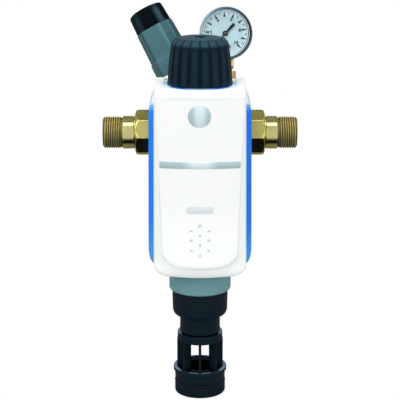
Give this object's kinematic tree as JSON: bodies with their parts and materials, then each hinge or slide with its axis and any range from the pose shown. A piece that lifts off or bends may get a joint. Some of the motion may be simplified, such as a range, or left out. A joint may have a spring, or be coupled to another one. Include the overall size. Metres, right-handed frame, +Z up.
{
  "type": "self cleaning water filter",
  "caption": "In-line back-flushing water filter with unions, pressure reducer, gauge, hand wheel, pull-off cover and air-gap drain.",
  "frame": {"origin": "middle of the pipe run's axis, half-way between the two threaded ends", "axes": "+X along the pipe run towards the outlet, +Y to the back, away from the cover, +Z up"},
  "size_m": [0.2, 0.1411, 0.3982],
  "materials": {
    "connection_body": "satin cast",
    "inlet_union_nut": "satin machined",
    "outlet_union_nut": "satin machined",
    "inlet_tailpiece": "satin machined",
    "outlet_tailpiece": "satin machined",
    "inlet_gasket": "matt",
    "outlet_gasket": "matt",
    "flange_seal": "matt",
    "filter_head": "moulded",
    "head_screw_1": "plain",
    "head_screw_2": "plain",
    "head_screw_3": "plain",
    "head_screw_4": "plain",
    "side_housing": "satin moulded",
    "rear_cover": "moulded",
    "front_cover": "satin moulded",
    "trim_strip": "brushed",
    "cover_badge": "satin",
    "name_plate": "satin",
    "label_ring": "moulded",
    "filter_cup": "clear moulded",
    "cup_seal": "matt",
    "screen_mesh": "woven",
    "screen_cage": "moulded",
    "drain_housing": "moulded",
    "drain_seal": "matt",
    "air_gap_cage": "moulded",
    "drain_funnel": "moulded",
    "drain_sleeve": "satin",
    "sleeve_seal": "matt",
    "reducer_body": "machined",
    "reducer_bonnet": "moulded",
    "reducer_diaphragm": "matt",
    "valve_stem": "machined",
    "valve_disc": "matt",
    "reducer_spring": "wire",
    "spring_plate": "machined",
    "reducer_cap": "moulded",
    "adjusting_screw": "machined",
    "gauge_case": "moulded",
    "gauge_bezel": "moulded",
    "gauge_window": "clear",
    "gauge_dial": "matt print",
    "dial_screw": "machined",
    "gauge_movement": "machined",
    "bourdon_tube": "drawn",
    "gauge_stem": "machined",
    "gauge_seal": "matt",
    "gauge_pointer": "matt",
    "pointer_arbor": "machined",
    "knob": "satin moulded",
    "knob_screw": "machined",
    "drive_spindle": "machined",
    "spindle_seal": "matt",
    "flush_tube": "drawn",
    "suction_ring": "moulded"
  },
  "bodies": {
    "body": {"connection_body": "connection_body", "inlet_union_nut": "inlet_union_nut", "outlet_union_nut": "outlet_union_nut", "inlet_tailpiece": "inlet_tailpiece", "outlet_tailpiece": "outlet_tailpiece", "inlet_gasket": "inlet_gasket", "outlet_gasket": "outlet_gasket", "flange_seal": "flange_seal", "filter_head": "filter_head", "head_screw_1": "head_screw_1", "head_screw_2": "head_screw_2", "head_screw_3": "head_screw_3", "head_screw_4": "head_screw_4", "side_housing": "side_housing", "rear_cover": "rear_cover", "label_ring": "label_ring", "filter_cup": "filter_cup", "cup_seal": "cup_seal", "screen_mesh": "screen_mesh", "screen_cage": "screen_cage", "drain_housing": "drain_housing", "drain_seal": "drain_seal", "air_gap_cage": "air_gap_cage", "drain_funnel": "drain_funnel", "drain_sleeve": "drain_sleeve", "sleeve_seal": "sleeve_seal", "reducer_body": "reducer_body", "reducer_bonnet": "reducer_bonnet", "reducer_diaphragm": "reducer_diaphragm", "reducer_spring": "reducer_spring", "gauge_case": "gauge_case", "gauge_bezel": "gauge_bezel", "gauge_window": "gauge_window", "gauge_dial": "gauge_dial", "dial_screw": "dial_screw", "gauge_movement": "gauge_movement", "bourdon_tube": "bourdon_tube", "gauge_stem": "gauge_stem", "gauge_seal": "gauge_seal", "spindle_seal": "spindle_seal"},
    "cover": {"front_cover": "front_cover", "trim_strip": "trim_strip", "cover_badge": "cover_badge", "name_plate": "name_plate"},
    "knob": {"knob": "knob", "knob_screw": "knob_screw", "drive_spindle": "drive_spindle"},
    "flush_carrier": {"flush_tube": "flush_tube", "suction_ring": "suction_ring"},
    "reducer_cap": {"reducer_cap": "reducer_cap", "adjusting_screw": "adjusting_screw"},
    "spring_plate": {"spring_plate": "spring_plate"},
    "reducer_valve": {"valve_stem": "valve_stem", "valve_disc": "valve_disc"},
    "pointer": {"gauge_pointer": "gauge_pointer", "pointer_arbor": "pointer_arbor"}
  },
  "joints": [
    {"name": "front_cover_pull", "type": "slide", "parent": "body", "child": "cover", "axis": [0, -1, 0], "range_m": [0, 0.12]},
    {"name": "knob_turn", "type": "hinge", "parent": "body", "child": "knob", "pos_m": [0, -0.045, 0.06], "axis": [0, 0, 1], "range_deg": [0, 900]},
    {"name": "flush_slide", "type": "slide", "parent": "body", "child": "flush_carrier", "axis": [0, 0, -1], "range_m": [0, 0.045]},
    {"name": "reducer_cap_turn", "type": "hinge", "parent": "body", "child": "reducer_cap", "pos_m": [-0.0246, 0.012, 0.0643], "axis": [-0.4729, 0.2018, 0.8577], "range_deg": [-540, 540]},
    {"name": "spring_plate_slide", "type": "slide", "parent": "body", "child": "spring_plate", "axis": [-0.4729, 0.2018, 0.8577], "range_m": [-0.00226, 0.00226], "deforming": ["reducer_spring"]},
    {"name": "reducer_valve_lift", "type": "slide", "parent": "body", "child": "reducer_valve", "axis": [-0.4729, 0.2018, 0.8577], "range_m": [-0.0015, 0.0015], "stiffness_N_per_m": 500, "deforming": ["reducer_diaphragm"]},
    {"name": "gauge_pointer_turn", "type": "hinge", "parent": "body", "child": "pointer", "pos_m": [0.02585, 0.01007, 0.10135], "axis": [-0.0856, -0.9779, 0.1908], "range_deg": [-90.1, 183.9], "stiffness_Nm_per_rad": 0.001}
  ],
  "couplings": [
    {"joint": "flush_slide", "follows": "knob_turn", "m_per_rad": 0.00286},
    {"joint": "spring_plate_slide", "follows": "reducer_cap_turn", "m_per_rad": 0.000238}
  ]
}
